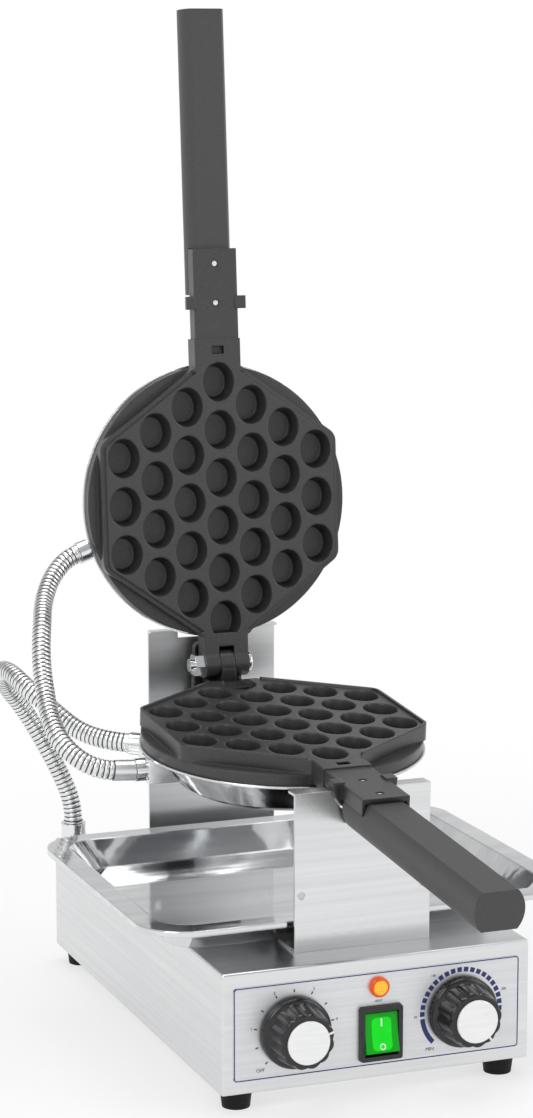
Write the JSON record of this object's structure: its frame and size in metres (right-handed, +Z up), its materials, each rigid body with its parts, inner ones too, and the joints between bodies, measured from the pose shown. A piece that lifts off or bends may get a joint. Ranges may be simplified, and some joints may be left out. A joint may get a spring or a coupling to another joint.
{
  "type": "rotating waffle maker",
  "caption": "Countertop rotating bubble-waffle iron: hinged hexagonal egg-cup moulds with long bar handles on a stainless base with drip tray and dial controls.",
  "frame": {"origin": "under the middle of the whole machine without its hoses, at the level of the feet's undersides", "axes": "+Z up, -Y to the front, where the handles and the controls are, X across the machine"},
  "size_m": [0.285, 0.4768, 0.6094],
  "materials": {
    "brushed_stainless": "fine vertical brushing, pale",
    "mirror_steel": "polished pressed sheet",
    "coated_casting": "fine-grained dark grey non-stick coating",
    "grip_plastic": "dark grey matte",
    "polished_fittings": "polished",
    "hose_steel": "ribbed strip-wound armour",
    "zinc_screws": "bright zinc",
    "heater_steel": "oxidised sheath",
    "foot_rubber": "black matte",
    "panel_film": "satin silver film with a dark blue border and dial scales",
    "black_plastic": "smooth black",
    "gloss_knob": "glossy black",
    "cap_foil": "bright satin",
    "amber_lens": "amber, ribbed",
    "green_lens": "lit green",
    "pale_plastic": "off-white",
    "bush_bronze": "plain bearing bronze"
  },
  "bodies": {
    "base": {"base_shell": "brushed_stainless", "bottom_plate": "brushed_stainless", "feet": "foot_rubber", "foot_screws": "zinc_screws", "front_bracket": "brushed_stainless", "rear_bracket": "brushed_stainless", "bracket_screws": "polished_fittings", "control_panel": "panel_film", "base_gland": "polished_fittings", "gland_nut": "polished_fittings", "lamp_body": "black_plastic", "lamp_lens": "amber_lens", "switch_frame": "black_plastic", "terminal_block": "pale_plastic", "timer_body": "zinc_screws", "thermostat_body": "zinc_screws", "pivot_bush": "bush_bronze", "supply_hose": "hose_steel"},
    "tray": {"drip_tray": "mirror_steel"},
    "mould": {"lower_casting": "coated_casting", "lower_heater": "heater_steel", "lower_cover": "mirror_steel", "lower_cover_nut": "zinc_screws", "lower_grip": "grip_plastic", "lower_grip_screws": "zinc_screws", "pivot_block": "coated_casting", "pivot_shaft": "polished_fittings", "pivot_nut": "polished_fittings", "hinge_bolt": "polished_fittings", "hinge_nut": "polished_fittings", "link_lower_fitting": "polished_fittings", "supply_mould_fitting": "polished_fittings", "link_hose": "hose_steel"},
    "lid": {"upper_casting": "coated_casting", "upper_heater": "heater_steel", "upper_cover": "mirror_steel", "upper_cover_nut": "zinc_screws", "upper_grip": "grip_plastic", "upper_grip_screws": "zinc_screws", "link_upper_fitting": "polished_fittings"},
    "timer": {"timer_knob": "gloss_knob", "timer_knob_cap": "cap_foil", "timer_spindle": "zinc_screws"},
    "thermostat": {"thermostat_knob": "gloss_knob", "thermostat_knob_cap": "cap_foil", "thermostat_spindle": "zinc_screws"},
    "rocker": {"switch_rocker": "green_lens"}
  },
  "joints": [
    {"name": "mould_turn", "type": "hinge", "parent": "base", "child": "mould", "pos_m": [-0.0097, 0.07043, 0.188], "axis": [0, 0.9973, 0.0741], "range_deg": [-90, 90], "deforming": ["supply_hose"]},
    {"name": "lid_hinge", "type": "hinge", "parent": "mould", "child": "lid", "pos_m": [-0.0097, 0.17239, 0.20179], "axis": [1, 0, 0], "range_deg": [0, 98.8], "deforming": ["link_hose"]},
    {"name": "tray_slide", "type": "slide", "parent": "base", "child": "tray", "axis": [1, 0, 0], "range_m": [0, 0.18]},
    {"name": "timer_turn", "type": "hinge", "parent": "base", "child": "timer", "pos_m": [-0.0609, -0.07757, 0.044], "axis": [0, -1, 0], "range_deg": [-300, 0]},
    {"name": "thermostat_turn", "type": "hinge", "parent": "base", "child": "thermostat", "pos_m": [0.0415, -0.07757, 0.044], "axis": [0, -1, 0], "range_deg": [-270, 0]},
    {"name": "rocker_tilt", "type": "hinge", "parent": "base", "child": "rocker", "pos_m": [-0.0087, -0.07207, 0.037], "axis": [1, 0, 0], "range_deg": [-12, 0]}
  ]
}
